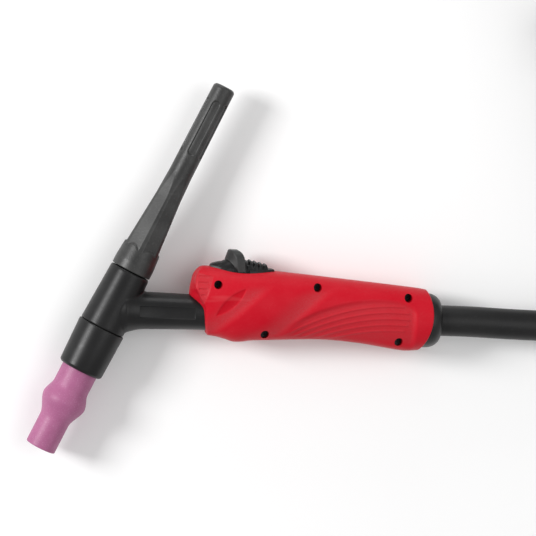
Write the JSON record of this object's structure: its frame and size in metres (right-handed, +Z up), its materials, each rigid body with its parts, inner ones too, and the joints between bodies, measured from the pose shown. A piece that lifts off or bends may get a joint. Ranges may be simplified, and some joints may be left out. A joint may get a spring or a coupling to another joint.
{
  "type": "tig welding torch",
  "caption": "Gas-cooled TIG welding torch: angled head with ceramic nozzle and long fluted back cap, two-shell red handle with rocker trigger, rubber hose and machine connector.",
  "frame": {"origin": "on the bench under the middle of the torch's box without its hose, coil and connector", "axes": "torch lying on its side: +X from the head to the hose, +Y towards the back cap, +Z up off the bench"},
  "size_m": [0.5161, 0.3134, 0.0381],
  "materials": {
    "ceramic": "glazed alumina",
    "head_rubber": "smooth moulded silicone rubber",
    "cap_plastic": "fine-textured phenolic",
    "seal_rubber": "matt",
    "handle_red": "satin moulded",
    "trigger_black": "satin moulded",
    "boot_rubber": "satin moulded",
    "hose_rubber": "smooth extruded",
    "tie_grey": "woven or ribbed, matt",
    "brass": "turned",
    "copper": "drawn and turned copper",
    "steel": "zinc plated",
    "board_green": "coated",
    "switch_grey": "moulded",
    "wire_jacket": "extruded"
  },
  "bodies": {
    "torch": {"sealing_sleeve": "head_rubber", "torch_head": "head_rubber", "head_core": "brass", "neck_tube": "copper", "collet_body": "copper", "collet": "copper", "handle_shell_near": "handle_red", "handle_shell_far": "handle_red", "handle_screws": "steel", "trigger_base": "trigger_black", "trigger_pin": "steel", "switch_board": "board_green", "tact_switches": "switch_grey", "control_wires": "wire_jacket", "hose_fitting": "brass", "power_hose": "seal_rubber", "cable_clamp": "switch_grey", "rear_boot": "boot_rubber", "hose_run": "hose_rubber", "hose_coil": "hose_rubber", "hose_tail": "hose_rubber", "coil_ties": "tie_grey", "connector_relief": "boot_rubber", "connector_body": "trigger_black", "connector_pin": "brass", "control_contacts": "brass"},
    "trigger": {"trigger_lever": "trigger_black"},
    "cap_carriage": {"cap_seal": "seal_rubber"},
    "cap": {"back_cap": "cap_plastic"},
    "nozzle": {"gas_nozzle": "ceramic"},
    "nut": {"connector_nut": "tie_grey"}
  },
  "joints": [
    {"name": "trigger_tilt", "type": "hinge", "parent": "torch", "child": "trigger", "pos_m": [-0.00056, -0.01025, 0.01604], "axis": [0, 0, 1], "range_deg": [-5, 5], "stiffness_Nm_per_rad": 0.3},
    {"name": "cap_travel", "type": "slide", "parent": "torch", "child": "cap_carriage", "axis": [0.4571, 0.8894, 0], "range_m": [0, 0.0075]},
    {"name": "cap_turn", "type": "hinge", "parent": "cap_carriage", "child": "cap", "pos_m": [-0.0527, -0.00189, 0.01604], "axis": [0.4571, 0.8894, 0], "range_deg": [0, 2160]},
    {"name": "nozzle_pull", "type": "slide", "parent": "torch", "child": "nozzle", "axis": [-0.4571, -0.8894, 0], "range_m": [0, 0.05]},
    {"name": "nut_turn", "type": "hinge", "parent": "torch", "child": "nut", "pos_m": [0.13094, 0.2028, 0.0191], "axis": [-1, 0, 0], "continuous": true}
  ],
  "couplings": [
    {"joint": "cap_turn", "follows": "cap_travel", "rad_per_m": 5026.5}
  ]
}
